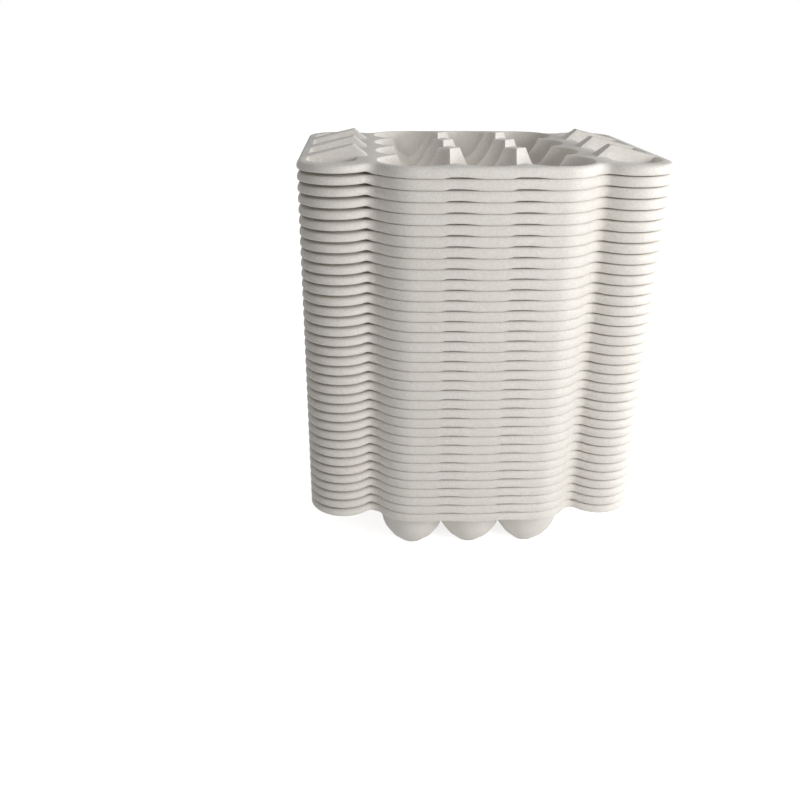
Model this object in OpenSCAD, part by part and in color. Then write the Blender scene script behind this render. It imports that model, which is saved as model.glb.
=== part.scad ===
// Stack of nested egg trays moulded from polystyrene foam.
// Every tray is one moulded sheet: twelve cups, six posts between them, a wing with a
// trough and three ridges along each side, and a turned-down lip all round.
// X runs across the wings, Y from the front to the back, Z up from the lowest cup floor.

/* [Stack] */
// Number of trays in the stack
tray_count = 36; // [2:1:50]
// Height that each tray adds to the stack
nest_pitch = 7.4; // [7:0.1:12]
// Vertical play between two nested trays
nest_play = 0.9; // [0.5:0.1:1.5]

/* [Sheet] */
// Thickness of the foam where it is flat
sheet_t = 2.4; // [1.6:0.1:3]
// Height of the turned-down lip, with the sheet
lip_h = 5.2; // [4:0.1:6]
// Thickness of the lip
lip_t = 2.4; // [1.6:0.1:3.2]

/* [Cups] */
// Distance between two cups across the tray
column_pitch = 46.2; // [44:0.1:49]
// Distance between two cups along the tray
row_pitch = 48; // [46:0.1:50]
// Radius of a cup at the rim
mouth_r = 27.4; // [26:0.1:28.5]
// Depth of a cup, measured inside
cup_depth = 38; // [34:0.5:44]
// Depth of the straight upper wall of a cup
wall_depth = 14.4; // [12:0.1:18]
// Slope of the straight upper wall, from upright
wall_draft = 13.3; // [11:0.1:16]
// Radius of the flat floor of a cup
floor_r = 8.8; // [6:0.1:12]

/* [Posts] */
// Height of the posts above the rim
post_h = 5; // [3:0.1:7]

/* [Body outline] */
// Half of the tray's length, at the middle of the front edge
front_y = 105.3; // [105:0.1:107]
// Radius of the body's corners, about the corner cups
corner_r = 32.2; // [31:0.1:33]

/* [Wings] */
// Distance from the middle of the tray to the middle of a wing's round end
lobe_x = 100.7; // [98:0.1:104]
// Distance from the middle of the tray to the centre of a wing's round end
lobe_y = 70.5; // [66:0.5:74]
// Radius of the round end of a wing
lobe_r = 26.6; // [25:0.1:29]
// Radius inside the notch between the body and a wing
notch_r = 6; // [4:0.5:9]

/* [Troughs] */
// Distance from the middle of the tray to the middle of a trough
trough_x = 103.7; // [102:0.1:106]
// Half of a trough's length between the centres of its round ends
trough_y = 67.4; // [62:0.1:70]
// Half of a trough's width at the rim
trough_r = 17.1; // [14:0.1:18]
// Half of the width of a trough's flat floor
trough_floor_r = 4; // [2:0.1:6]
// Depth of a trough, measured inside
trough_depth = 10.6; // [8:0.1:12]
// Slope of a trough's wall at the rim, from upright
trough_draft = 22; // [18:1:30]

/* [Ridges] */
// Height of a ridge's peak above the rim
ridge_h = 7.5; // [5:0.1:9]
// Distance from the middle of the tray to the peak of a ridge
ridge_peak_x = 89.5; // [87:0.1:93]
// Distance from the middle of the tray to the inner foot of a ridge
ridge_inner_x = 79.8; // [78:0.1:82]
// Distance from the middle of the tray to the outer foot of a ridge
ridge_outer_x = 118; // [114:0.1:119]
// Width of a ridge's flat top at its peak
ridge_top_w = 8.6; // [6:0.1:12]
// Slope of a ridge's sides, from upright
ridge_draft = 22.8; // [21:0.1:30]

/* [Hidden] */
$fn = 64;

columns = 3;
rows = 4;
cup_steps = 3;
trough_steps = 2;
foam = [0.93, 0.92, 0.9];
// Two nested trays keep their play when the underside lies at most this far below the top.
nest_drop = nest_pitch - nest_play;
// The solids of one tray that join inside the sheet overlap down to this depth.
mid_z = -sheet_t / 2;
tray_lift = cup_depth + sheet_t;
cup_xs = [for (i = [0 : columns - 1]) (i - (columns - 1) / 2) * column_pitch];
cup_ys = [for (i = [0 : rows - 1]) (i - (rows - 1) / 2) * row_pitch];
post_xs = [for (i = [1 : columns - 1]) (i - columns / 2) * column_pitch];
post_ys = [for (i = [1 : rows - 1]) (i - rows / 2) * row_pitch];
corner_x = max(cup_xs);
corner_y = max(cup_ys);
wall_foot_r = mouth_r - wall_depth * tan(wall_draft);

// Sheet thickness on a wall with this slope from upright, thin enough to nest.
function sheet_at(draft) = min(sheet_t, nest_drop * sin(draft));

// Points of an arc that leaves `from` at the slope `draft` and ends at `to`.
function wall_arc(from, to, draft, steps) =
    let (
        chord = atan2(from.x - to.x, from.y - to.y),
        turn = 2 * (chord - draft),
        radius = norm(from - to) / (2 * sin(turn / 2))
    )
    [for (i = [0 : steps])
        let (a = draft + turn * i / steps)
        [from.x + radius * (cos(a) - cos(draft)), from.y - radius * (sin(a) - sin(draft))]];

// Slope from upright of the wall between two points of a profile.
function slope(p, q) = atan2(p.x - q.x, p.y - q.y);

// A point on the underside of the wall that starts at p with the slope a.
function under(p, a) = p + sheet_at(a) * [cos(a), -sin(a)];

// Where two undersides meet: one through p with the slope a, one through q with the slope b.
function meet(p, a, q, b) =
    let (t = ((q.x - p.x) * cos(b) - (q.y - p.y) * sin(b)) / sin(b - a))
    p - t * [sin(a), cos(a)];

// Underside of a wall profile, from the height `top` down to the floor's underside.
function underside(points, top) =
    let (
        n = len(points) - 1,
        a = [for (i = [0 : n - 1]) slope(points[i], points[i + 1])],
        first = under(points[0], a[0])
    )
    concat(
        [[first.x + (top - first.y) * tan(a[0]), top]],
        [for (i = [1 : n - 1]) meet(under(points[i - 1], a[i - 1]), a[i - 1], under(points[i], a[i]), a[i])],
        [meet(under(points[n - 1], a[n - 1]), a[n - 1], [0, points[n].y - sheet_t], 90)]
    );

// Upper side of a wall profile, with its straight upper wall carried on up to `top`.
function topside(points, top) =
    let (a = slope(points[0], points[1]))
    concat([[points[0].x + (top - points[0].y) * tan(a), top]], [for (i = [1 : len(points) - 1]) points[i]]);

// Closes a profile to the axis, so that it can be revolved.
function to_axis(points) = concat([[0, points[0].y]], points, [[0, points[len(points) - 1].y]]);

// Both sides of a profile, so that it can be extruded.
function both_sides(points) =
    concat(points, [for (i = [len(points) - 1 : -1 : 0]) [-points[i].x, points[i].y]]);

cup_wall = concat(
    [[mouth_r, 0]], wall_arc([wall_foot_r, -wall_depth], [floor_r, -cup_depth], wall_draft, cup_steps)
);
trough_wall = wall_arc([trough_r, 0], [trough_floor_r, -trough_depth], trough_draft, trough_steps);
ridge_low = -trough_depth - 2 * sheet_t;
clear_z = post_h + ridge_h;

// Plan of the tray, drawn in by `inset` on all sides.
module outline(inset) {
    bow = front_y - corner_y;
    bow_r = (bow * bow + corner_x * corner_x - corner_r * corner_r) / (2 * (bow - corner_r));
    bow_x = corner_x * bow_r / (bow_r - corner_r);
    // Centre of the arc in the notch, which touches the corner's arc and the lobe's arc.
    base = [lobe_x - corner_x, lobe_y - corner_y];
    reach = corner_r + notch_r;
    along = (norm(base) ^ 2 + reach ^ 2 - (lobe_r + notch_r) ^ 2) / (2 * norm(base));
    aside = sqrt(reach ^ 2 - along ^ 2);
    notch = [corner_x, corner_y] + (along * base + aside * [-base.y, base.x]) / norm(base);
    difference() {
        union() {
            square([2 * (lobe_x + lobe_r - inset), 2 * lobe_y], center = true);
            intersection() {
                translate([0, bow_r - front_y]) circle(bow_r - inset, $fn = 720);
                translate([0, front_y - bow_r]) circle(bow_r - inset, $fn = 720);
                square([2 * bow_x, 2 * front_y], center = true);
            }
            for (sx = [-1, 1], sy = [-1, 1]) {
                translate([sx * corner_x, sy * corner_y]) circle(corner_r - inset);
                translate([sx * lobe_x, sy * lobe_y]) circle(lobe_r - inset);
                polygon([[sx * corner_x, sy * corner_y], [sx * lobe_x, sy * lobe_y], [sx * notch.x, sy * notch.y]]);
            }
        }
        for (sx = [-1, 1], sy = [-1, 1])
            translate([sx * notch.x, sy * notch.y]) circle(notch_r + inset);
    }
}

module flange() {
    translate([0, 0, -sheet_t]) linear_extrude(sheet_t) outline(0);
    translate([0, 0, -lip_h]) linear_extrude(lip_h + mid_z) difference() {
        outline(0);
        outline(lip_t);
    }
}

module at_cups() {
    for (x = cup_xs, y = cup_ys) translate([x, y, 0]) children();
}

module cup_body(top) {
    rotate_extrude() polygon(to_axis(underside(cup_wall, top)));
}

module cup_cavity() {
    rotate_extrude() polygon(to_axis(topside(cup_wall, clear_z)));
}

module at_posts() {
    for (x = post_xs, y = post_ys) translate([x, y, 0]) children();
}

// The cups' cavities cut this block down to a post with four hollow sides.
module post_block() {
    size = min(column_pitch, row_pitch) / 2;
    translate([-size / 2, -size / 2, mid_z]) cube([size, size, post_h - mid_z]);
}

// Space under a post, left between the undersides of four cups.
module post_hollow() {
    size = 0.45 * min(column_pitch, row_pitch);
    low = -2 * sheet_t;
    high = post_h - sheet_t;
    difference() {
        translate([-size / 2, -size / 2, low]) cube([size, size, high - low]);
        for (sx = [-1, 1], sy = [-1, 1])
            translate([sx * column_pitch / 2, sy * row_pitch / 2, 0]) cup_body(clear_z);
    }
}

// A trough's form: a profile drawn along the wing with the same profile turned at both ends.
module trough_form(points) {
    rotate([90, 0, 0]) linear_extrude(2 * trough_y, center = true) polygon(both_sides(points));
    for (s = [-1, 1]) translate([0, s * trough_y, 0]) rotate_extrude() polygon(to_axis(points));
}

module at_wings() {
    for (s = [0, 1]) mirror([s, 0, 0]) children();
}

// A ridge across the trough, drawn in by `inset` on its top and sides, with its foot at `low`.
// Under the sheet its ends go straight down, clear of the cups and the lip.
module ridge_form(inset, low) {
    inner_a = atan2(ridge_h, ridge_peak_x - ridge_inner_x);
    outer_a = atan2(ridge_h, ridge_outer_x - ridge_peak_x);
    inner_x = ridge_inner_x + inset / sin(inner_a);
    outer_x = ridge_outer_x - inset / sin(outer_a);
    peak_x = (inner_x * tan(inner_a) + outer_x * tan(outer_a)) / (tan(inner_a) + tan(outer_a));
    inner_end = inner_x - sheet_t / tan(inner_a);
    outer_end = trough_x + trough_r + sheet_t;
    side = ridge_top_w / 2 - inset / cos(ridge_draft) + ridge_h * tan(ridge_draft);
    intersection() {
        rotate([90, 0, 0]) linear_extrude(row_pitch, center = true) polygon([
            [inner_end, low], [outer_end, low], [outer_end, (outer_x - outer_end) * tan(outer_a)],
            [peak_x, (peak_x - inner_x) * tan(inner_a)], [inner_end, -sheet_t]
        ]);
        rotate([90, 0, 90]) linear_extrude(2 * lobe_x) polygon([
            [-side + low * tan(ridge_draft), low], [side - low * tan(ridge_draft), low],
            [side - ridge_h * tan(ridge_draft), ridge_h], [-side + ridge_h * tan(ridge_draft), ridge_h]
        ]);
    }
}

// The part of a ridge that stands above the middle of the sheet.
module ridge_top() {
    intersection() {
        ridge_form(0, ridge_low);
        translate([0, -row_pitch / 2, mid_z]) cube([2 * lobe_x, row_pitch, clear_z]);
    }
}

module at_ridges() {
    for (y = post_ys) translate([0, y, 0]) children();
}

module tray() {
    difference() {
        union() {
            flange();
            at_cups() cup_body(mid_z);
            at_posts() post_block();
            at_wings() {
                translate([trough_x, 0, 0]) trough_form(underside(trough_wall, mid_z));
                at_ridges() ridge_top();
            }
        }
        at_cups() cup_cavity();
        at_posts() post_hollow();
        at_wings() {
            difference() {
                translate([trough_x, 0, 0]) trough_form(topside(trough_wall, clear_z));
                at_ridges() ridge_form(0, ridge_low);
            }
            at_ridges() ridge_form(sheet_t, ridge_low);
        }
    }
}

// One tray, at its place counted from the bottom of the stack.
module stacked_tray(index) {
    color(foam) translate([0, 0, tray_lift + index * nest_pitch]) tray();
}

for (i = [0 : tray_count - 1])
    stacked_tray(i);
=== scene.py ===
"""Looks of a stack of nested egg trays, each moulded from one sheet of polystyrene foam.

The upper and the under side of a tray's sheet are built for one quarter of the tray, in
millimetres, then joined by the turned-down lip, mirrored twice and set in the stack's frame.
"""

import logging
import math
from collections.abc import Callable, Iterable
from dataclasses import dataclass
from enum import Enum

import bmesh
import bpy
from mathutils import Matrix, Vector, noise


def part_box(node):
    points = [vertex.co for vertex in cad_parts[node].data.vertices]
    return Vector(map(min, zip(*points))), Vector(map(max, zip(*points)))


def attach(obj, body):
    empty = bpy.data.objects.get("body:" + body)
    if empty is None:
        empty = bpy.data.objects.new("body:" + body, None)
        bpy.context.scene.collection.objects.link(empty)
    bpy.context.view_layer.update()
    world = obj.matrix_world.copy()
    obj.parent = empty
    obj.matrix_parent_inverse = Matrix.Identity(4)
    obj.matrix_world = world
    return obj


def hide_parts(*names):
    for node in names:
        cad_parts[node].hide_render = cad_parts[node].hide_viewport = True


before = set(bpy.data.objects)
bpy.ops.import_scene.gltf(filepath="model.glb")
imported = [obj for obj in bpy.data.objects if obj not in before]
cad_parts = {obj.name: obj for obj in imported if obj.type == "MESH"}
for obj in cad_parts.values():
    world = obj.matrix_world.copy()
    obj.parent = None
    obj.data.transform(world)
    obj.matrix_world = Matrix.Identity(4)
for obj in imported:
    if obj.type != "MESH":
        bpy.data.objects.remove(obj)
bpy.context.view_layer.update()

log = logging.getLogger("egg_trays")

MM = 0.001
SAME_PLACE = 1e-3
MERGE_WITHIN = 1e-2
UNDER_ARC_STEPS = 3
UNDER_TROUGH_STEPS = 2
FULL_TURN = 2 * math.pi
STRETCH = "stretch"
Point = tuple[float, float]


class SheetSide(Enum):
    """The two sides of the foam sheet, and the lip that joins them."""

    UPPER = 0
    UNDER = 1
    LIP = 2


def wall_arc(start: Point, end: Point, draft: float, steps: int) -> list[Point]:
    """Work out an arc of a wall's section, from its rim inwards and down.

    Args:
        start: Upper end of the arc, as radius and height.
        end: Lower end of the arc.
        draft: Slope at the upper end, in degrees from upright.
        steps: Number of straight pieces.

    Returns:
        The points of the arc, with both ends.
    """
    lean = math.radians(draft)
    chord = math.atan2(start[0] - end[0], start[1] - end[1])
    turn = 2 * (chord - lean)
    radius = math.dist(start, end) / (2 * math.sin(turn / 2))
    angles = [lean + turn * i / steps for i in range(steps + 1)]
    return [
        (
            start[0] + radius * (math.cos(a) - math.cos(lean)),
            start[1] - radius * (math.sin(a) - math.sin(lean)),
        )
        for a in angles
    ]


def plan_arc(centre: Point, radius: float, first: float, last: float, steps: int) -> list[Point]:
    """Points along an arc in plan, with both ends.

    Args:
        centre: Centre of the arc.
        radius: Radius of the arc.
        first: Angle of the first point, in radians.
        last: Angle of the last point, in radians.
        steps: Number of straight pieces.

    Returns:
        The points of the arc.
    """
    angles = [first + (last - first) * i / steps for i in range(steps + 1)]
    return [(centre[0] + radius * math.cos(a), centre[1] + radius * math.sin(a)) for a in angles]


def refined(points: list[Point], longest: float) -> list[Point]:
    """Split the straight pieces of a section so that none is longer than `longest`.

    Args:
        points: The points of the section.
        longest: The greatest length of a piece.

    Returns:
        The points of the split section.
    """
    out = [points[0]]
    for a, b in zip(points, points[1:]):
        parts = max(1, math.ceil(math.dist(a, b) / longest - SAME_PLACE))
        run, rise = b[0] - a[0], b[1] - a[1]
        out += [(a[0] + run * i / parts, a[1] + rise * i / parts) for i in range(1, parts + 1)]
    return out


def ends_of(edges: Iterable[bmesh.types.BMEdge]) -> list[bmesh.types.BMVert]:
    """List each vertex of the edges once, in the order in which the edges meet it.

    Args:
        edges: The edges.

    Returns:
        The vertices.
    """
    return list(dict.fromkeys(v for e in edges for v in e.verts))


def smooth_step(low: float, high: float, value: float) -> float:
    """Rise smoothly from 0 at `low` to 1 at `high`.

    Args:
        low: Where the rise starts.
        high: Where the rise ends.
        value: Where it is read.

    Returns:
        The share that is reached there.
    """
    share = min(1.0, max(0.0, (value - low) / (high - low)))
    return share * share * (3 - 2 * share)


@dataclass(frozen=True)
class Detail:
    """How finely a tray is built.

    Args:
        turn_steps: Number of steps round a cup.
        arc_steps: Number of steps down a curved wall.
        longest: Longest step down a straight wall, in millimetres.
        plan_steps: Number of steps round each arc of the outline.
        soften: Whether the crests, posts and ridges get round edges.
        lip_steps: Number of steps over the lip's round shoulder.
    """

    turn_steps: int
    arc_steps: int
    longest: float
    plan_steps: int
    soften: bool
    lip_steps: int


@dataclass
class SheetForm:
    """Sizes of one tray, in millimetres and degrees, with the rim's upper side at zero height."""

    nest_pitch: float
    nest_play: float = 0.9
    sheet_t: float = 2.4
    lip_h: float = 5.2
    lip_t: float = 2.4
    shoulder_w: float = 3.0
    shoulder_h: float = 2.9
    foot_w: float = 1.3
    foot_h: float = 1.5
    column_pitch: float = 46.2
    row_pitch: float = 48.0
    mouth_r: float = 27.4
    cup_depth: float = 38.0
    wall_depth: float = 15.6
    wall_draft: float = 13.3
    floor_r: float = 8.8
    post_h: float = 5.0
    front_y: float = 105.3
    corner_r: float = 32.2
    lobe_x: float = 100.7
    lobe_y: float = 70.5
    lobe_r: float = 26.6
    notch_r: float = 6.0
    trough_x: float = 103.7
    trough_y: float = 67.4
    trough_r: float = 17.1
    trough_floor_r: float = 4.0
    trough_depth: float = 10.6
    trough_draft: float = 22.0
    ridge_h: float = 7.5
    ridge_peak_x: float = 89.5
    ridge_inner_x: float = 79.8
    ridge_top_w: float = 8.6
    ridge_draft: float = 22.8

    @property
    def corner(self) -> Point:
        """Centre of the body's corner arc, which is a corner cup's centre."""
        return (self.column_pitch, 1.5 * self.row_pitch)

    @property
    def lift(self) -> float:
        """Height of the rim above the underside of the cups' floors."""
        return self.cup_depth + self.sheet_t

    def rim_z(self, side: SheetSide) -> float:
        """Height of the flat rim on one side of the sheet."""
        return 0.0 if side is SheetSide.UPPER else -self.sheet_t

    def post_z(self, side: SheetSide) -> float:
        """Height of the posts' flat tops on one side of the sheet."""
        return self.post_h + self.rim_z(side)

    def thickness(self, draft: float) -> float:
        """Sheet thickness on a wall with this slope in radians, thin enough to nest."""
        return min(self.sheet_t, (self.nest_pitch - self.nest_play) * math.sin(draft))

    def section(self, side: SheetSide, corners: list[Point]) -> list[Point]:
        """Move a wall's section to one side of the sheet.

        Args:
            side: The side of the sheet.
            corners: The section of the upper side, from the rim to the floor's edge.

        Returns:
            The section on that side, from the rim down to the floor's edge.
        """
        if side is SheetSide.UPPER:
            return list(corners)
        slopes = [math.atan2(a[0] - b[0], a[1] - b[1]) for a, b in zip(corners, corners[1:])]
        slopes.append(math.pi / 2)
        lines = []
        for corner, lean in zip(corners, slopes):
            t = self.thickness(lean)
            lines.append((corner[0] + t * math.cos(lean), corner[1] - t * math.sin(lean), lean))
        x, z, lean = lines[0]
        rim = self.rim_z(side)
        out = [(x + (rim - z) * math.tan(lean), rim)]
        for (px, pz, a), (qx, qz, b) in zip(lines, lines[1:]):
            t = ((qx - px) * math.cos(b) - (qz - pz) * math.sin(b)) / math.sin(b - a)
            out.append((px - t * math.sin(a), pz - t * math.cos(a)))
        return out

    def cup_section(self, side: SheetSide, detail: Detail) -> list[Point]:
        """Section of a cup from the height of the posts' tops down to the middle of its floor.

        Args:
            side: The side of the sheet.
            detail: How finely the tray is built.

        Returns:
            The points of the section, as radius and height.
        """
        lean = math.tan(math.radians(self.wall_draft))
        foot = (self.mouth_r - self.wall_depth * lean, -self.wall_depth)
        steps = detail.arc_steps if side is SheetSide.UPPER else UNDER_ARC_STEPS
        arc = wall_arc(foot, (self.floor_r, -self.cup_depth), self.wall_draft, steps)
        wall = self.section(side, [(self.mouth_r, 0.0), *arc])
        top = (wall[0][0] + self.post_h * lean, self.post_z(side))
        return refined([top, *wall, (0.0, wall[-1][1])], detail.longest)

    def trough_section(self, side: SheetSide, detail: Detail) -> list[Point]:
        """Half of a trough's section, from its rim down to the middle of its floor.

        Args:
            side: The side of the sheet.
            detail: How finely the tray is built.

        Returns:
            Distances from the trough's middle, with their heights.
        """
        upper_steps = max(UNDER_TROUGH_STEPS, detail.arc_steps // 2)
        steps = upper_steps if side is SheetSide.UPPER else UNDER_TROUGH_STEPS
        floor = (self.trough_floor_r, -self.trough_depth)
        wall = self.section(side, wall_arc((self.trough_r, 0.0), floor, self.trough_draft, steps))
        return [*wall, (0.0, wall[-1][1])]

    def lip_section(self, steps: int) -> list[Point]:
        """Section round the lip, from the flat rim over the shoulder and under the foot.

        Args:
            steps: Number of steps over the shoulder.

        Returns:
            Distances in from the outline, with their heights.
        """
        quarter = math.pi / 2
        turns = [quarter * i / steps for i in range(steps + 1)]
        shoulder = [
            (self.shoulder_w * (1 - math.sin(a)), -self.shoulder_h * (1 - math.cos(a))) for a in turns
        ]
        turns = [quarter * i / (steps - 1) for i in range(steps)]
        foot = [
            (self.foot_w * (1 - math.cos(a)), self.foot_h * (1 - math.sin(a)) - self.lip_h) for a in turns
        ]
        return [*shoulder, *foot, (self.lip_t, self.foot_h / 4 - self.lip_h), (self.lip_t, -self.sheet_t)]

    def outline(self, inset: float, steps: int) -> list[Point]:
        """One quarter of the tray's plan.

        Args:
            inset: How far the plan is drawn in.
            steps: Number of steps round each arc.

        Returns:
            Points from the middle of the wing's outer edge to the middle of the back edge.
        """
        cx, cy = self.corner
        bow = self.front_y - cy
        bow_r = (bow * bow + cx * cx - self.corner_r**2) / (2 * (bow - self.corner_r))
        bow_y = self.front_y - bow_r
        base = Vector((self.lobe_x - cx, self.lobe_y - cy))
        reach = self.corner_r + self.notch_r
        along = (base.length_squared + reach**2 - (self.lobe_r + self.notch_r) ** 2) / (2 * base.length)
        aside = math.sqrt(reach**2 - along**2)
        unit = base.normalized()
        notch = Vector((cx, cy)) + along * unit + aside * Vector((-unit.y, unit.x))
        to_lobe = math.atan2(notch.y - self.lobe_y, notch.x - self.lobe_x)
        to_corner = math.atan2(notch.y - cy, notch.x - cx)
        to_bow = math.atan2(cy - bow_y, cx)
        side = [(self.lobe_x + self.lobe_r - inset, self.lobe_y * i / steps) for i in range(steps)]
        lobe = plan_arc((self.lobe_x, self.lobe_y), self.lobe_r - inset, 0.0, to_lobe, steps)
        dip = plan_arc(tuple(notch), self.notch_r + inset, to_lobe - math.pi, to_corner - math.pi, steps // 2)
        round_corner = plan_arc((cx, cy), self.corner_r - inset, to_corner, to_bow, steps)
        front = plan_arc((0.0, bow_y), bow_r - inset, to_bow, math.pi / 2, steps)
        return [*side, *lobe, *dip[1:], *round_corner[1:], *front[1:]]


class TrayBuilder:
    """Builds a closed mesh of one tray from its form."""

    ROUND_EDGE = 1.3
    ROUND_STEPS = 3
    CREST = math.radians(24)
    SHARP = math.radians(40)

    def __init__(self, form: SheetForm, detail: Detail) -> None:
        """Keep the form and how finely it is built.

        Args:
            form: Sizes of the tray.
            detail: How finely it is built.
        """
        self.form = form
        self.detail = detail
        self.bm = bmesh.new()
        self.side_layer = self.bm.faces.layers.int.new("sheet_side")

    def build(self) -> bmesh.types.BMesh:
        """Build the whole tray.

        Returns:
            The tray's mesh, in millimetres, with its rim at zero height.
        """
        for side in (SheetSide.UPPER, SheetSide.UNDER):
            self.add_cups(side)
            self.add_wing(side)
            self.add_flats(side)
        self.add_lip()
        bm = self.bm
        bmesh.ops.remove_doubles(bm, verts=bm.verts[:], dist=MERGE_WITHIN)
        for axis in ("X", "Y"):
            geometry = bm.verts[:] + bm.edges[:] + bm.faces[:]
            bmesh.ops.mirror(bm, geom=geometry, matrix=Matrix(), merge_dist=MERGE_WITHIN, axis=axis)
        bmesh.ops.remove_doubles(bm, verts=bm.verts[:], dist=MERGE_WITHIN)
        bmesh.ops.recalc_face_normals(bm, faces=bm.faces[:])
        if self.detail.soften:
            self.round_edges()
        return bm

    def tag_new_faces(self, old: set[bmesh.types.BMFace], side: SheetSide) -> None:
        """Note on which side of the sheet the faces made since `old` lie.

        Args:
            old: The faces that were there before.
            side: The side of the sheet.
        """
        for face in self.bm.faces:
            if face not in old:
                face[self.side_layer] = side.value

    def add_chain(self, points: Iterable[tuple[float, float, float]]) -> list[bmesh.types.BMEdge]:
        """Add a chain of edges through the points.

        Args:
            points: The points, in order.

        Returns:
            The edges of the chain.
        """
        verts = [self.bm.verts.new(p) for p in points]
        return [self.bm.edges.new(pair) for pair in zip(verts, verts[1:])]

    def add_cups(self, side: SheetSide) -> None:
        """Add the cups that lie in the quarter, cut along the crests between them.

        Args:
            side: The side of the sheet.
        """
        form = self.form
        old = set(self.bm.faces)
        half_x = form.column_pitch / 2
        section = form.cup_section(side, self.detail)
        for cx, low_x, high_x in ((0.0, 0.0, half_x), (form.column_pitch, half_x, math.inf)):
            for cy, low_y, high_y in (
                (form.row_pitch / 2, 0.0, form.row_pitch),
                (1.5 * form.row_pitch, form.row_pitch, math.inf),
            ):
                cup = self.spun_cup(section, cx, cy)
                self.cut_cell(cup, Vector((1, 0, 0)), low_x, high_x)
                self.cut_cell(cup, Vector((0, 1, 0)), low_y, high_y)
                self.trim_at_rim(cup, side)
                self.take_in(cup)
        self.tag_new_faces(old, side)

    def spun_cup(self, section: list[Point], cx: float, cy: float) -> bmesh.types.BMesh:
        """Turn a cup's section once round the cup's axis.

        Args:
            section: The cup's section, as radius and height.
            cx: Place of the axis across the tray.
            cy: Place of the axis along the tray.

        Returns:
            The mesh of the whole cup.
        """
        cup = bmesh.new()
        verts = [cup.verts.new((cx + r, cy, z)) for r, z in section]
        edges = [cup.edges.new(pair) for pair in zip(verts, verts[1:])]
        bmesh.ops.spin(
            cup, geom=verts + edges, cent=(cx, cy, 0), axis=(0, 0, 1), dvec=(0, 0, 0),
            angle=FULL_TURN, steps=self.detail.turn_steps, use_merge=True, use_duplicate=False,
        )
        bmesh.ops.remove_doubles(cup, verts=cup.verts[:], dist=SAME_PLACE)
        return cup

    @staticmethod
    def cut_cell(cup: bmesh.types.BMesh, normal: Vector, low: float, high: float) -> None:
        """Keep only what lies between two planes across `normal`.

        Args:
            cup: The mesh to cut.
            normal: The direction across the planes.
            low: Place of the lower plane.
            high: Place of the upper plane, or infinity for none.
        """
        for place, drop_outer in ((low, False), (high, True)):
            if math.isfinite(place):
                bmesh.ops.bisect_plane(
                    cup, geom=cup.verts[:] + cup.edges[:] + cup.faces[:], dist=SAME_PLACE,
                    plane_co=normal * place, plane_no=normal,
                    clear_outer=drop_outer, clear_inner=not drop_outer,
                )

    def trim_at_rim(self, cup: bmesh.types.BMesh, side: SheetSide) -> None:
        """Drop the wall above the rim, except where it is a post's side.

        Args:
            cup: The mesh to trim.
            side: The side of the sheet.
        """
        form = self.form
        rim = form.rim_z(side)
        posts = [(form.column_pitch / 2, y) for y in (0.0, form.row_pitch)]
        spare = []
        for face in cup.faces:
            x, y, z = face.calc_center_median()
            beside_post = any(
                abs(x - px) < form.column_pitch / 2 and abs(y - py) < form.row_pitch / 2 for px, py in posts
            )
            if z > rim and not beside_post:
                spare.append(face)
        bmesh.ops.delete(cup, geom=spare, context="FACES")

    def take_in(self, piece: bmesh.types.BMesh) -> None:
        """Join a piece to the quarter and free it.

        Args:
            piece: The mesh to join.
        """
        mesh = bpy.data.meshes.new("piece")
        piece.to_mesh(mesh)
        piece.free()
        self.bm.from_mesh(mesh)
        bpy.data.meshes.remove(mesh)

    def ridge_points(self, side: SheetSide) -> tuple[Point, Point, float]:
        """Inner foot and peak of a ridge, and half of its width at the rim's height.

        Args:
            side: The side of the sheet.

        Returns:
            The inner foot, the peak and the half width.
        """
        form = self.form
        outer_x = form.trough_x + form.trough_r
        inset = -form.rim_z(side)
        inner = math.atan2(form.ridge_h, form.ridge_peak_x - form.ridge_inner_x)
        outer = math.atan2(form.ridge_h, outer_x - form.ridge_peak_x)
        foot_x = form.ridge_inner_x + inset / math.sin(inner)
        far_x = outer_x - inset / math.sin(outer)
        rise, fall = math.tan(inner), math.tan(outer)
        peak_x = (foot_x * rise + far_x * fall) / (rise + fall)
        peak = (peak_x, (peak_x - foot_x) * rise)
        rim = form.rim_z(side)
        lean = math.tan(math.radians(form.ridge_draft))
        side_inset = inset / math.cos(math.radians(form.ridge_draft))
        half = form.ridge_top_w / 2 + (form.ridge_h - rim) * lean - side_inset
        return (foot_x + rim / rise, rim), peak, half

    def add_wing(self, side: SheetSide) -> None:
        """Add the trough of the wing and the ridges across it.

        Args:
            side: The side of the sheet.
        """
        form, bm = self.form, self.bm
        old = set(bm.faces)
        half_section = form.trough_section(side, self.detail)
        section = [(form.trough_x + x, z) for x, z in half_section]
        section += [(form.trough_x - x, z) for x, z in reversed(half_section[:-1])]
        rim = form.rim_z(side)
        lean = math.tan(math.radians(form.ridge_draft))
        foot, peak, half = self.ridge_points(side)

        def ridge_side(ridge_y: float, way: int) -> Callable[[float], float]:
            return lambda z: ridge_y + way * (half + (rim - z) * lean)

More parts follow.
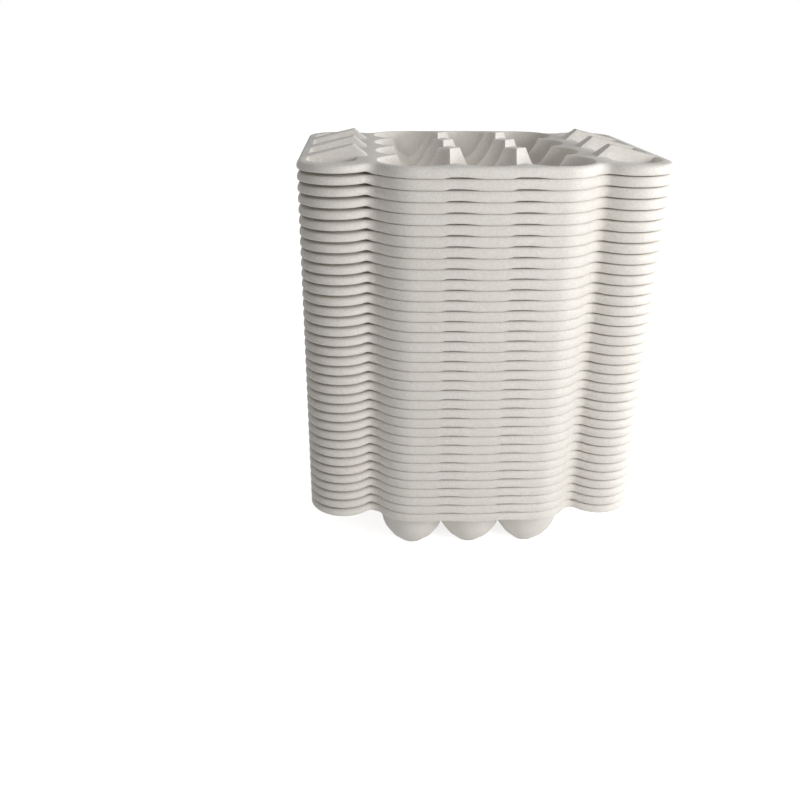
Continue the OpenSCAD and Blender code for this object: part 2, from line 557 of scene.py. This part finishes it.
        bays = (
            (ridge_side(0.0, 1), ridge_side(form.row_pitch, -1)),
            (ridge_side(form.row_pitch, 1), lambda z: form.trough_y),
        )
        steps = max(2, self.detail.plan_steps // 3)
        for start, end in bays:
            edges = self.add_chain([(x, start(z), z) for x, z in section])
            for i in range(1, steps + 1):
                grown = bmesh.ops.extrude_edge_only(bm, edges=edges)["geom"]
                edges = [g for g in grown if isinstance(g, bmesh.types.BMEdge)]
                for vert in ends_of(edges):
                    z = vert.co.z
                    vert.co.y = start(z) + (end(z) - start(z)) * i / steps
        chain = self.add_chain([(form.trough_x + x, form.trough_y, z) for x, z in half_section])
        bmesh.ops.spin(
            bm, geom=chain + ends_of(chain),
            cent=(form.trough_x, form.trough_y, 0), axis=(0, 0, 1), dvec=(0, 0, 0),
            angle=math.pi, steps=self.detail.turn_steps // 2, use_duplicate=False,
        )
        for ridge_y, way in ((0.0, 1), (form.row_pitch, -1), (form.row_pitch, 1)):
            at = ridge_side(ridge_y, way)
            ring = [bm.verts.new((x, at(z), z)) for x, z in [*section, foot, peak]]
            bm.faces.new(ring)
            for pair in ((ring[-1], ring[0]), (ring[-2], ring[-1])):
                middle = [bm.verts.new((v.co.x, ridge_y, v.co.z)) for v in reversed(pair)]
                bm.faces.new([*pair, *middle])
        self.tag_new_faces(old, side)

    def add_flats(self, side: SheetSide) -> None:
        """Fill the flat rim and the posts' tops between the walls.

        Args:
            side: The side of the sheet.
        """
        form, bm = self.form, self.bm
        rim, post = form.rim_z(side), form.post_z(side)
        bmesh.ops.remove_doubles(bm, verts=bm.verts[:], dist=MERGE_WITHIN)
        old = set(bm.faces)
        inset = form.shoulder_w if side is SheetSide.UPPER else form.lip_t
        plan = form.outline(inset, self.detail.plan_steps)
        self.add_chain([(x, y, rim) for x, y in plan])
        for level in (rim, post):
            edges = [
                e for e in bm.edges
                if len(e.link_faces) < 2 and all(abs(v.co.z - level) < SAME_PLACE for v in e.verts)
                and not all(abs(v.co.y) < SAME_PLACE for v in e.verts)
            ]
            ends = [
                v for v in ends_of(edges)
                if sum(e in edges for e in v.link_edges) == 1
            ]
            on_x = sorted((v for v in ends if abs(v.co.y) < SAME_PLACE), key=lambda v: v.co.x)
            on_y = sorted((v for v in ends if abs(v.co.x) < SAME_PLACE), key=lambda v: v.co.y)
            for line in (on_x, on_y):
                for a, b in zip(line[0::2], line[1::2]):
                    edges.append(bm.edges.get((a, b)) or bm.edges.new((a, b)))
            bmesh.ops.triangle_fill(bm, use_beauty=True, use_dissolve=False, edges=edges, normal=(0, 0, 1))
        self.tag_new_faces(old, side)

    def add_lip(self) -> None:
        """Turn the rim down over its shoulder and join the two sides of the sheet round the lip."""
        form, bm, steps = self.form, self.bm, self.detail.plan_steps
        old = set(bm.faces)
        section = form.lip_section(self.detail.lip_steps)
        chain = self.add_chain([(x, y, 0.0) for x, y in form.outline(section[0][0], steps)])
        order = [chain[0].verts[0], *[e.verts[1] for e in chain]]
        for inset, z in section[1:]:
            edges = [bm.edges.get(pair) for pair in zip(order, order[1:])]
            grown = bmesh.ops.extrude_edge_only(bm, edges=edges)["geom"]
            new_verts = {g for g in grown if isinstance(g, bmesh.types.BMVert)}
            order = [
                next(e.other_vert(v) for e in v.link_edges if e.other_vert(v) in new_verts) for v in order
            ]
            for vert, (x, y) in zip(order, form.outline(inset, steps)):
                vert.co = (x, y, z)
        self.tag_new_faces(old, SheetSide.LIP)

    def round_edges(self) -> None:
        """Round the crests, the posts and the ridges."""
        bm, layer, upper = self.bm, self.side_layer, SheetSide.UPPER.value
        crests = [
            e for e in bm.edges
            if len(e.link_faces) == 2 and e.calc_face_angle(0.0) > self.CREST
            and all(f[layer] == upper for f in e.link_faces)
        ]
        bmesh.ops.bevel(
            bm, geom=crests, offset=self.ROUND_EDGE, offset_type="WIDTH", segments=self.ROUND_STEPS,
            profile=0.5, affect="EDGES", clamp_overlap=True, material=-1,
        )


@dataclass
class TrayStack:
    """The stack: one finely built tray on top, and plainer ones nested under it."""

    top_detail: Detail = Detail(
        turn_steps=96, arc_steps=14, longest=2.4, plan_steps=18, soften=True, lip_steps=6
    )
    nested_detail: Detail = Detail(
        turn_steps=32, arc_steps=4, longest=9.0, plan_steps=14, soften=False, lip_steps=4
    )
    wave: float = 0.25
    wave_length: float = 45.0
    wave_drift: float = 0.6
    free_from: float = 0.9
    hang_reach: float = 20.0
    body_half: Point = (74.0, 100.0)
    lip_margin: float = 0.5
    stretch_from: float = 1.0
    hang: tuple[Point, ...] = (
        (-82.0, 0.0), (-75.0, 2.0), (-32.0, 2.2), (-27.0, 1.1), (-20.0, 1.1), (-3.0, 2.2),
        (12.0, 2.2), (17.0, 1.1), (25.0, 1.1), (43.0, 2.2), (72.0, 2.2), (84.0, 1.5), (112.0, 1.3),
    )

    def names(self) -> list[str]:
        """Names of the trays' nodes, from the bottom to the top."""
        return sorted(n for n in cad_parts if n.startswith("tray_"))

    @staticmethod
    def low_z(name: str) -> float:
        """Height of a tray's lowest point, in millimetres."""
        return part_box(name)[0][2] / MM

    def form(self) -> SheetForm:
        """Form of the trays, with the nest pitch that the frame has."""
        first, second = self.names()[:2]
        return SheetForm(nest_pitch=self.low_z(second) - self.low_z(first))

    def top_rim_z(self) -> float:
        """Height of the top tray's rim, in metres."""
        return (self.low_z(self.names()[-1]) + self.form().lift) * MM

    def build(self, finish: "FoamFinish") -> None:
        """Build every tray and set it over its node.

        Args:
            finish: The foam finish of all trays.
        """
        names = self.names()
        form = self.form()
        material = finish.material()
        top = TrayBuilder(form, self.top_detail).build()
        nested = TrayBuilder(form, self.nested_detail).build()
        for index, name in enumerate(names):
            source = top if name == names[-1] else nested
            bm = source.copy()
            self.hang_lip(bm, form)
            self.settle(bm, form, index)
            self.note_stretch(bm, form)
            bmesh.ops.translate(bm, verts=bm.verts[:], vec=(0, 0, self.low_z(name) + form.lift))
            bmesh.ops.scale(bm, verts=bm.verts[:], vec=(MM, MM, MM))
            mesh = bpy.data.meshes.new(f"foam_{name}")
            bm.to_mesh(mesh)
            bm.free()
            self.shade(mesh)
            piece = bpy.data.objects.new(f"foam_{name}", mesh)
            bpy.context.scene.collection.objects.link(piece)
            mesh.materials.append(material)
            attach(piece, "root")
            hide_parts(name)
            log.info("%s: %d faces", piece.name, len(mesh.polygons))
        top.free()
        nested.free()

    def hang_at(self, x: float) -> float:
        """How far the lip's foot hangs down at this place across the stack.

        Args:
            x: The place, in millimetres.

        Returns:
            The drop, in millimetres.
        """
        if x <= self.hang[0][0]:
            return self.hang[0][1]
        for (low_x, low), (high_x, high) in zip(self.hang, self.hang[1:]):
            if x <= high_x:
                return low + (high - low) * smooth_step(low_x, high_x, x)
        return self.hang[-1][1]

    def hang_lip(self, bm: bmesh.types.BMesh, form: SheetForm) -> None:
        """Let the lip's foot hang closer to the next tray in front of the cups than between them.

        Args:
            bm: The tray's mesh.
            form: Sizes of the tray.
        """
        layer = bm.faces.layers.int["sheet_side"]
        feet = {
            v for f in bm.faces if f[layer] == SheetSide.LIP.value for v in f.verts
            if v.co.z < -form.shoulder_h - SAME_PLACE
        }
        for vert in feet:
            share = (-form.shoulder_h - vert.co.z) / (form.lip_h - form.shoulder_h)
            along_side = smooth_step(form.lobe_y - self.hang_reach, form.lobe_y, abs(vert.co.y))
            vert.co.z -= self.hang_at(vert.co.x) * along_side * min(1.0, share)

    def settle(self, bm: bmesh.types.BMesh, form: SheetForm, index: int) -> None:
        """Lower the free edge of a tray in the slight waves of a thin foam sheet.

        Args:
            bm: The tray's mesh.
            form: Sizes of the tray.
            index: Place of the tray in the stack, from the bottom.
        """
        reach = form.trough_x - form.trough_r
        for vert in bm.verts:
            away = max(abs(vert.co.x) / reach, abs(vert.co.y) / form.front_y) - self.free_from
            if away <= 0:
                continue
            across, along = vert.co.x / self.wave_length, vert.co.y / self.wave_length
            place = Vector((across, along, self.wave_drift * index))
            weight = min(1.0, away / (1 - self.free_from))
            vert.co.z -= self.wave * weight * (1 + noise.noise(place)) / 2

    def note_stretch(self, bm: bmesh.types.BMesh, form: SheetForm) -> None:
        """Note how far the foam was stretched at each point: none at the rim, most deep in a cup.

        Args:
            bm: The tray's mesh.
            form: Sizes of the tray.
        """
        layer = bm.verts.layers.float.new(STRETCH)
        for vert in bm.verts:
            x, y, z = vert.co
            in_body = abs(x) < self.body_half[0] and abs(y) < self.body_half[1]
            on_lip = -z <= form.lip_h + self.lip_margin and not in_body
            vert[layer] = 0.0 if on_lip else smooth_step(self.stretch_from, form.wall_depth, -z)

    @staticmethod
    def shade(mesh: bpy.types.Mesh) -> None:
        """Shade the mesh smoothly, apart from its sharp edges."""
        mesh.shade_smooth()
        mesh.set_sharp_from_angle(angle=TrayBuilder.SHARP)


class FoamCells:
    """Shader group for the fine cells of the foam, smoother where the sheet was stretched."""

    NAME = "foam_cells"
    GRAIN_DETAIL = 3.0
    CLOUD_DETAIL = 2.0
    GRAIN_SHARE = 0.4
    CLOUD_SHARE = 0.04
    CLOUD_TONE = 0.35
    SMOOTHED = 0.75
    LEAST_ROUGH = 0.55
    ROUGH_SPREAD = 0.25

    def __init__(self) -> None:
        """Make the group with its named sockets."""
        self.tree = bpy.data.node_groups.new(self.NAME, "ShaderNodeTree")
        sockets = (
            ("Vector", "INPUT", "NodeSocketVector", None),
            ("Cell Size", "INPUT", "NodeSocketFloat", 0.001),
            ("Stretch", "INPUT", "NodeSocketFloat", 0.0),
            ("Speck", "INPUT", "NodeSocketFloat", 0.1),
            ("Tone", "OUTPUT", "NodeSocketFloat", None),
            ("Height", "OUTPUT", "NodeSocketFloat", None),
            ("Roughness", "OUTPUT", "NodeSocketFloat", None),
        )
        for name, way, kind, value in sockets:
            socket = self.tree.interface.new_socket(name=name, in_out=way, socket_type=kind)
            if value is not None:
                socket.default_value = value
        self.build()

    def node(self, kind: str, **settings: object) -> bpy.types.Node:
        """Add a node with these settings.

        Args:
            kind: Type of the node.
            **settings: Properties that are set on it.

        Returns:
            The node.
        """
        node = self.tree.nodes.new(kind)
        for key, value in settings.items():
            setattr(node, key, value)
        return node

    def math(self, operation: str, first: object, second: object) -> bpy.types.NodeSocket:
        """Add a sum of two sockets or numbers and give its result.

        Args:
            operation: What is worked out.
            first: The first socket or number.
            second: The second socket or number.

        Returns:
            The socket with the result.
        """
        node = self.node("ShaderNodeMath", operation=operation)
        for socket, value in zip(node.inputs, (first, second)):
            if isinstance(value, bpy.types.NodeSocket):
                self.tree.links.new(value, socket)
            else:
                socket.default_value = value
        return node.outputs[0]

    def build(self) -> None:
        """Join the cells, the mottling and the smooth stretched walls."""
        links = self.tree.links
        given = self.node("NodeGroupInput").outputs
        result = self.node("NodeGroupOutput").inputs
        density = self.math("DIVIDE", 1.0, given["Cell Size"])
        cells = self.node("ShaderNodeTexVoronoi")
        links.new(given["Vector"], cells.inputs["Vector"])
        links.new(density, cells.inputs["Scale"])
        grain = self.node("ShaderNodeTexNoise")
        grain.inputs["Detail"].default_value = self.GRAIN_DETAIL
        links.new(given["Vector"], grain.inputs["Vector"])
        links.new(self.math("MULTIPLY", density, self.GRAIN_SHARE), grain.inputs["Scale"])
        cloud = self.node("ShaderNodeTexNoise")
        cloud.inputs["Detail"].default_value = self.CLOUD_DETAIL
        links.new(given["Vector"], cloud.inputs["Vector"])
        links.new(self.math("MULTIPLY", density, self.CLOUD_SHARE), cloud.inputs["Scale"])
        rough = self.math("SUBTRACT", 1.0, self.math("MULTIPLY", given["Stretch"], self.SMOOTHED))
        pick = self.node("ShaderNodeSeparateColor")
        links.new(cells.outputs["Color"], pick.inputs["Color"])
        shade = self.math("SUBTRACT", pick.outputs["Red"], 0.5)
        mottle = self.math("SUBTRACT", grain.outputs["Fac"], 0.5)
        drift = self.math("MULTIPLY", self.math("SUBTRACT", cloud.outputs["Fac"], 0.5), self.CLOUD_TONE)
        speck = self.math("MULTIPLY", self.math("ADD", shade, mottle), rough)
        tone = self.math("MULTIPLY", self.math("ADD", speck, drift), given["Speck"])
        links.new(self.math("ADD", 1.0, tone), result["Tone"])
        dent = self.math("SUBTRACT", 1.0, cells.outputs["Distance"])
        height = self.math("ADD", self.math("MULTIPLY", dent, rough), mottle)
        links.new(height, result["Height"])
        spread = self.math("MULTIPLY", pick.outputs["Green"], self.ROUGH_SPREAD)
        links.new(self.math("ADD", self.LEAST_ROUGH, spread), result["Roughness"])


@dataclass(frozen=True)
class FoamFinish:
    """White polystyrene foam with fine cells.

    Args:
        colour: Colour of the foam.
        cell: Size of a cell, in metres.
        speck: How far the cells' tones differ.
        relief: Height of the cells, in metres.
        glow: Share of the light that passes into the foam.
        depth: How far that light travels, in metres.
        travel: How far each colour travels, as a share of the depth.
        shine: Strength of the surface's shine.
    """

    colour: tuple[float, float, float] = (0.86, 0.825, 0.77)
    cell: float = 0.0009
    speck: float = 0.1
    relief: float = 0.0001
    glow: float = 0.3
    depth: float = 0.003
    travel: tuple[float, float, float] = (1.0, 0.97, 0.92)
    shine: float = 0.35

    def material(self) -> bpy.types.Material:
        """Make the foam's material.

        Returns:
            The material.
        """
        material = bpy.data.materials.new("white_foam")
        material.use_nodes = True
        nodes, links = material.node_tree.nodes, material.node_tree.links
        shader = nodes["Principled BSDF"]
        shader.inputs["Subsurface Weight"].default_value = self.glow
        shader.inputs["Subsurface Radius"].default_value = self.travel
        shader.inputs["Subsurface Scale"].default_value = self.depth
        shader.inputs["Specular IOR Level"].default_value = self.shine
        place = nodes.new("ShaderNodeTexCoord")
        stretch = nodes.new("ShaderNodeAttribute")
        stretch.attribute_name = STRETCH
        cells = nodes.new("ShaderNodeGroup")
        cells.node_tree = FoamCells().tree
        cells.inputs["Cell Size"].default_value = self.cell
        cells.inputs["Speck"].default_value = self.speck
        links.new(place.outputs["Object"], cells.inputs["Vector"])
        links.new(stretch.outputs["Fac"], cells.inputs["Stretch"])
        tint = nodes.new("ShaderNodeVectorMath")
        tint.operation = "SCALE"
        tint.inputs[0].default_value = self.colour
        links.new(cells.outputs["Tone"], tint.inputs["Scale"])
        links.new(tint.outputs["Vector"], shader.inputs["Base Color"])
        links.new(cells.outputs["Roughness"], shader.inputs["Roughness"])
        bump = nodes.new("ShaderNodeBump")
        bump.inputs["Distance"].default_value = self.relief
        links.new(cells.outputs["Height"], bump.inputs["Height"])
        links.new(bump.outputs["Normal"], shader.inputs["Normal"])
        return material


@dataclass(frozen=True)
class Lamp:
    """A square soft lamp.

    Args:
        name: Name of the lamp.
        place: Where it stands, in metres.
        size: Side of the lamp, in metres.
        power: Power in watts.
    """

    name: str
    place: tuple[float, float, float]
    size: float
    power: float


@dataclass
class Studio:
    """Floor, lights and camera."""

    focal_px: float = 796.0
    photo_px: float = 800.0
    eye: tuple[float, float, float] = (-82.9, -621.4, 77.0)
    yaw: float = 2.71
    pitch: float = 24.76
    roll: float = 0.44
    sensor: float = 36.0
    room_light: float = 0.28
    floor_glow: float = 0.78
    floor_half: float = 6.0
    floor_tone: float = 0.9
    floor_rough: float = 0.9
    aim_share: float = 0.67
    lamps: tuple[Lamp, ...] = (
        Lamp("key", (0.5, -0.55, 0.45), 0.3, 3.0),
        Lamp("side", (1.1, 0.0, 0.52), 0.3, 4.4),
    )

    def camera(self, rim_z: float) -> None:
        """Set the camera where the photograph was taken from.

        Args:
            rim_z: Height of the top tray's rim, in metres.
        """
        data = bpy.data.cameras.new("camera")
        data.sensor_width = self.sensor
        data.lens = self.sensor * self.focal_px / self.photo_px
        camera = bpy.data.objects.new("camera", data)
        yaw, pitch, roll = (math.radians(a) for a in (self.yaw, self.pitch, self.roll))
        ahead = Vector((math.sin(yaw) * math.cos(pitch), math.cos(yaw) * math.cos(pitch), -math.sin(pitch)))
        right = Vector((math.cos(yaw), -math.sin(yaw), 0.0))
        up = right.cross(ahead)
        right, up = math.cos(roll) * right + math.sin(roll) * up, math.cos(roll) * up - math.sin(roll) * right
        place = Matrix((right, up, -ahead)).transposed().to_4x4()
        place.translation = Vector(self.eye) * MM + Vector((0, 0, rim_z))
        camera.matrix_world = place
        bpy.context.scene.collection.objects.link(camera)
        bpy.context.scene.camera = camera

    def light(self, lamp: Lamp, target: Vector) -> None:
        """Add a soft lamp.

        Args:
            lamp: The lamp's sizes and power.
            target: What it points at.
        """
        data = bpy.data.lights.new(lamp.name, "AREA")
        data.size = lamp.size
        data.energy = lamp.power
        place = Vector(lamp.place)
        body = bpy.data.objects.new(lamp.name, data)
        body.location = place
        body.rotation_euler = (target - place).to_track_quat("-Z", "Y").to_euler()
        bpy.context.scene.collection.objects.link(body)

    @staticmethod
    def seen(tree: bpy.types.NodeTree) -> bpy.types.NodeSocket:
        """Add nodes that are 1 where the room is seen, directly or in a reflection.

        Args:
            tree: The node tree of the floor or the world.

        Returns:
            The socket with that value.
        """
        path = tree.nodes.new("ShaderNodeLightPath")
        value = path.outputs["Is Camera Ray"]
        for way in ("Is Glossy Ray", "Is Transmission Ray"):
            either = tree.nodes.new("ShaderNodeMath")
            either.operation = "MAXIMUM"
            tree.links.new(value, either.inputs[0])
            tree.links.new(path.outputs[way], either.inputs[1])
            value = either.outputs[0]
        return value

    def floor(self) -> None:
        """Lay a pale floor under the stack."""
        bm = bmesh.new()
        bmesh.ops.create_grid(bm, x_segments=1, y_segments=1, size=self.floor_half)
        mesh = bpy.data.meshes.new("floor")
        bm.to_mesh(mesh)
        bm.free()
        floor = bpy.data.objects.new("floor", mesh)
        bpy.context.scene.collection.objects.link(floor)
        material = bpy.data.materials.new("floor_white")
        material.use_nodes = True
        nodes, links = material.node_tree.nodes, material.node_tree.links
        shader = nodes["Principled BSDF"]
        shader.inputs["Base Color"].default_value = (self.floor_tone, self.floor_tone, self.floor_tone, 1.0)
        shader.inputs["Roughness"].default_value = self.floor_rough
        shader.inputs["Emission Color"].default_value = (1, 1, 1, 1)
        strength = nodes.new("ShaderNodeMath")
        strength.operation = "MULTIPLY"
        strength.inputs[1].default_value = self.floor_glow
        links.new(self.seen(material.node_tree), strength.inputs[0])
        links.new(strength.outputs[0], shader.inputs["Emission Strength"])
        mesh.materials.append(material)

    def world(self) -> None:
        """Fill the room with soft light, white where it is seen."""
        world = bpy.data.worlds.new("room")
        bpy.context.scene.world = world
        world.use_nodes = True
        nodes, links = world.node_tree.nodes, world.node_tree.links
        back = nodes["Background"]
        mix = nodes.new("ShaderNodeMapRange")
        mix.inputs["To Min"].default_value = self.room_light
        mix.inputs["To Max"].default_value = 1.0
        links.new(self.seen(world.node_tree), mix.inputs["Value"])
        back.inputs["Color"].default_value = (1, 1, 1, 1)
        links.new(mix.outputs["Result"], back.inputs["Strength"])

    def build(self, rim_z: float) -> None:
        """Set up the whole studio.

        Args:
            rim_z: Height of the top tray's rim, in metres.
        """
        bpy.context.scene.view_settings.view_transform = "Standard"
        self.camera(rim_z)
        self.floor()
        self.world()
        target = Vector((0, 0, rim_z * self.aim_share))
        for lamp in self.lamps:
            self.light(lamp, target)


def main() -> None:
    """Build the stack and its studio."""
    logging.basicConfig(level=logging.INFO, format="%(name)s: %(message)s")
    stack = TrayStack()
    stack.build(FoamFinish())
    Studio().build(stack.top_rim_z())


if __name__ == "__main__":
    main()
